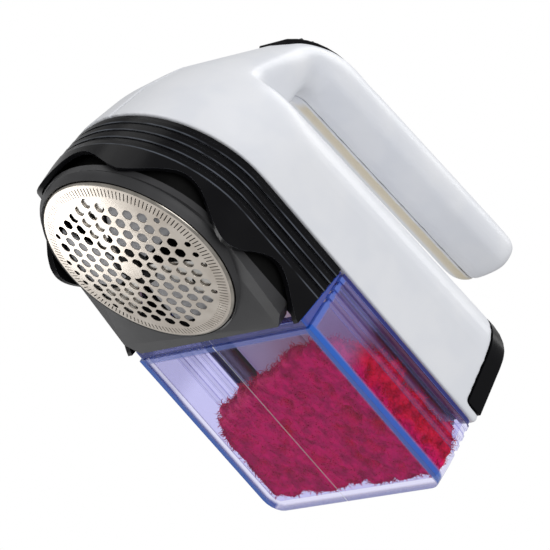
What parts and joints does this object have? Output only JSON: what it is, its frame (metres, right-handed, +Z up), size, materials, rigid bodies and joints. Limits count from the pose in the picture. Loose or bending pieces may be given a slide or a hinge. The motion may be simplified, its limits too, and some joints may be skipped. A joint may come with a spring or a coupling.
{
  "type": "fabric shaver",
  "caption": "Cordless fabric shaver with an iron-style handle, a round perforated shaving foil under the nose, a scalloped ribbed skirt and a clear pull-out lint box.",
  "frame": {"origin": "centre of the footprint, at the height of the table that the foil stands on", "axes": "+X towards the nose with the shaving head, +Y to the left-hand side, +Z up towards the handle"},
  "size_m": [0.126, 0.068, 0.0975],
  "materials": {
    "white": "smooth satin-gloss injection-moulded shell, cool white",
    "black": "smooth black, gloss edges",
    "black_ribbed": "glossy black with long highlights along the ribs",
    "black_inner": "matt black inner plastic",
    "dark_gray": "satin dark grey",
    "foil_steel": "etched and polished foil, faint radial brushing",
    "blade_steel": "ground blade steel",
    "steel": "plain steel",
    "motor_steel": "zinc-plated can",
    "bronze": "sintered bush",
    "copper": "laminated core with copper windings",
    "ivory": "ivory engineering plastic",
    "cell_wrap": "printed cell wrap, plain grey",
    "contact": "nickel-plated spring steel",
    "clear_violet": "clear plastic with a violet-blue tint, glossy",
    "violet": "violet-blue tinted plastic, glossy",
    "fluff": "loose crimson lint"
  },
  "bodies": {
    "housing": {"housing_left": "white", "housing_right": "white", "housing_screws": "steel", "skirt_shell": "black_ribbed", "chamber": "black_inner", "bearing_bush": "bronze", "motor_can": "motor_steel", "motor_end_cap": "ivory", "motor_bracket": "black_inner", "bracket_screws": "steel", "battery_tray": "black_inner", "battery_cell_left": "cell_wrap", "battery_cell_right": "cell_wrap", "contact_plate": "contact", "switch_bezel": "black", "switch_body": "ivory", "switch_terminals": "contact"},
    "cutter": {"cutter_hub": "black_inner", "cutter_blades": "blade_steel", "cutter_screw": "steel", "cutter_shaft": "steel", "cutter_spring": "steel"},
    "motor_rotor": {"motor_shaft": "steel", "motor_core": "copper", "drive_coupler": "black_inner"},
    "slider": {"switch_slider": "black"},
    "lint_drawer": {"lint_box": "clear_violet", "lint_box_frame": "violet", "lint_fluff": "fluff"},
    "rear_cap": {"battery_cap": "black", "contact_springs": "contact"},
    "head": {"head_plate": "dark_gray", "foil": "foil_steel", "foil_ring": "dark_gray"}
  },
  "joints": [
    {"name": "cutter_spin", "type": "hinge", "parent": "housing", "child": "cutter", "pos_m": [0.0315, 0, 0.01], "axis": [0, 0, 1], "continuous": true},
    {"name": "motor_spin", "type": "hinge", "parent": "housing", "child": "motor_rotor", "pos_m": [0.0315, 0, 0.04], "axis": [0, 0, 1], "continuous": true},
    {"name": "switch_slide", "type": "hinge", "parent": "housing", "child": "slider", "pos_m": [0.01023, 0, 0.06406], "axis": [0, 1, 0], "range_deg": [0, 7.6]},
    {"name": "lint_box_slide", "type": "slide", "parent": "housing", "child": "lint_drawer", "axis": [-1, 0, 0], "range_m": [0, 0.07]},
    {"name": "cap_slide", "type": "slide", "parent": "housing", "child": "rear_cap", "axis": [-1, 0, 0], "range_m": [0, 0.016]},
    {"name": "head_drop", "type": "slide", "parent": "housing", "child": "head", "axis": [0, 0, -1], "range_m": [0, 0.012]}
  ],
  "couplings": [
    {"joint": "cutter_spin", "follows": "motor_spin", "ratio": 1}
  ]
}
